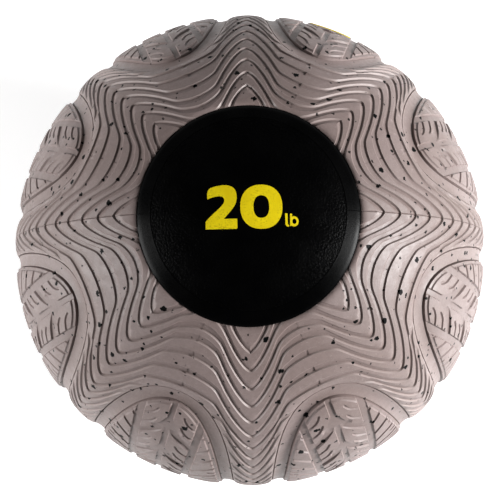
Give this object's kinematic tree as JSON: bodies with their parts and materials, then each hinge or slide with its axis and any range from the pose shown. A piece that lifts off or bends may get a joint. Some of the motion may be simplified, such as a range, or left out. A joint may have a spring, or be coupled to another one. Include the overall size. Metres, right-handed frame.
{
  "type": "medicine ball",
  "caption": "Round rubber medicine ball with oval tread pads, a stepped star relief between them, a black cap at each pole and a recessed air valve.",
  "frame": {"origin": "centre of the ball", "axes": "+Z out through the middle of the front cap, which carries the weight marking; +X to the marking's right; +Y towards the top of the marking, through the air valve"},
  "size_m": [0.2798, 0.2792, 0.2789],
  "materials": {
    "cover_rubber": "satin moulded rubber, mottled grey with black flecks",
    "cap_rubber": "fine pebble grain with a smooth outer ring",
    "marking_yellow": "satin ink film",
    "core_rubber": "matte weighted rubber",
    "bladder_rubber": "satin butyl rubber",
    "valve_rubber": "matte rubber"
  },
  "bodies": {
    "ball": {"cover_half_near": "cover_rubber", "cover_half_far": "cover_rubber", "cap_front": "cap_rubber", "cap_back": "cap_rubber", "digit_two": "marking_yellow", "digit_zero": "marking_yellow", "letter_l": "marking_yellow", "letter_b": "marking_yellow", "pad_marking": "marking_yellow", "core_half_near": "core_rubber", "core_half_far": "core_rubber", "bladder": "bladder_rubber", "valve_housing": "valve_rubber"},
    "valve_plug": {"valve_core": "valve_rubber"}
  },
  "joints": [
    {"name": "valve_core_pull", "type": "slide", "parent": "ball", "child": "valve_plug", "axis": [0, 1, 0], "range_m": [0, 0.02]}
  ]
}
